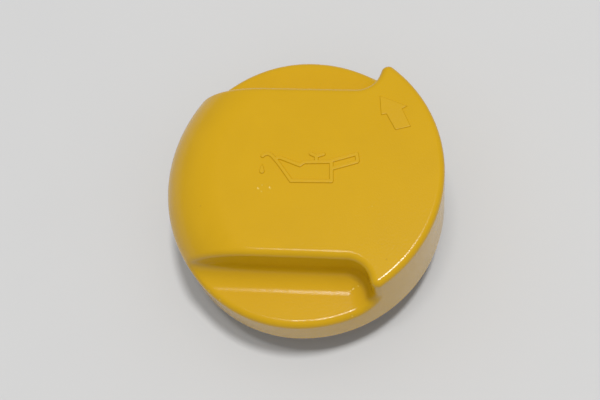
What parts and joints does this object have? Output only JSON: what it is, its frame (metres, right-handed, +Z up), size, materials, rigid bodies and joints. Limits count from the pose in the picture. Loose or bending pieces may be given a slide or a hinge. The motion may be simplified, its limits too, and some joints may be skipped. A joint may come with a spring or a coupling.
{
  "type": "oil filler cap",
  "caption": "Round bayonet oil filler cap with a wide grip between finger pockets, a domed tail, a skirt and a hollow stem with a flat rubber sealing ring.",
  "frame": {"origin": "on the turning axis, at the end of the stem that the cap stands on", "axes": "+Z up the turning axis from the stem to the grip, +X along the grip from the domed tail to the full head"},
  "size_m": [0.0707, 0.0726, 0.0384],
  "materials": {
    "yellow_plastic": "semi-gloss moulded",
    "black_rubber": "matt"
  },
  "bodies": {
    "root": {"cap_body": "yellow_plastic", "sealing_ring": "black_rubber"}
  },
  "joints": []
}
